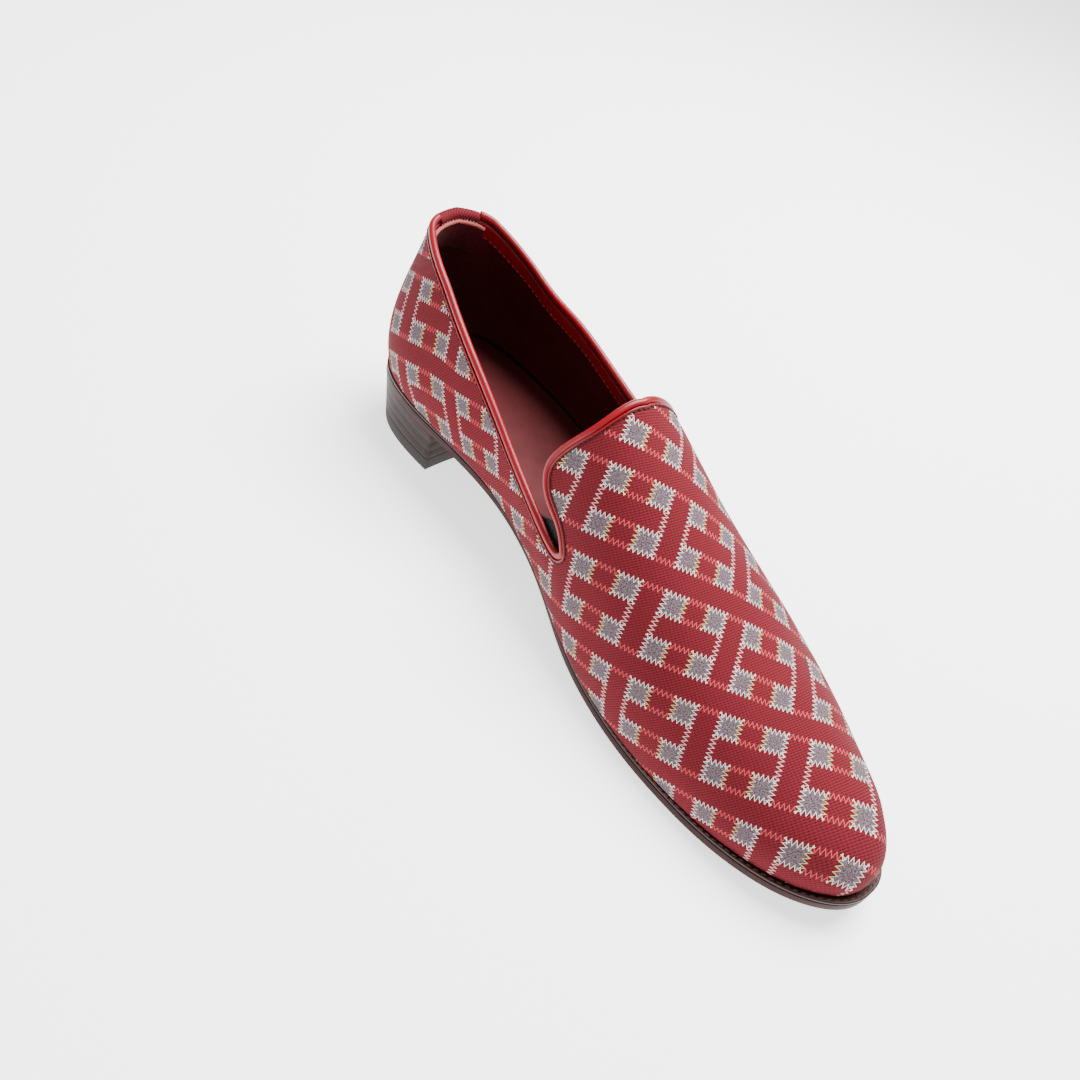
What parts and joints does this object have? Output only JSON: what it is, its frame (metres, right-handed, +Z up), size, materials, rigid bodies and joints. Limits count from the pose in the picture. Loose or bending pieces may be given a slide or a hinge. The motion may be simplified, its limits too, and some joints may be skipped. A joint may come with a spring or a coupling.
{
  "type": "loafer",
  "caption": "Left slip-on shoe with a whole-cut woven check cloth upper, piped topline and side notches, leather sole and low stacked heel",
  "frame": {"origin": "centre of the bounding box in plan, on the floor the shoe stands on", "axes": "+Z up, toe toward -Y, heel toward +Y, inner side of this left shoe toward -X, outer side toward +X"},
  "size_m": [0.0894, 0.2922, 0.0908],
  "materials": {
    "upper": "ribbed woven cloth in red with a grey and pink check",
    "heel_tab": "the same woven cloth",
    "piping": "smooth bright red leather",
    "gore": "black elastic cloth",
    "insole": "undyed leather board",
    "welt": "dark brown leather, stitched",
    "outsole": "dark reddish brown leather",
    "heel_stack": "polished dark stacked leather",
    "heel_top_piece": "black rubber"
  },
  "bodies": {
    "root": {"upper": "upper", "heel_tab": "heel_tab", "piping": "piping", "gore_medial": "gore", "gore_lateral": "gore", "insole": "insole", "welt": "welt", "outsole": "outsole", "heel_stack": "heel_stack", "heel_top_piece": "heel_top_piece"}
  },
  "joints": []
}
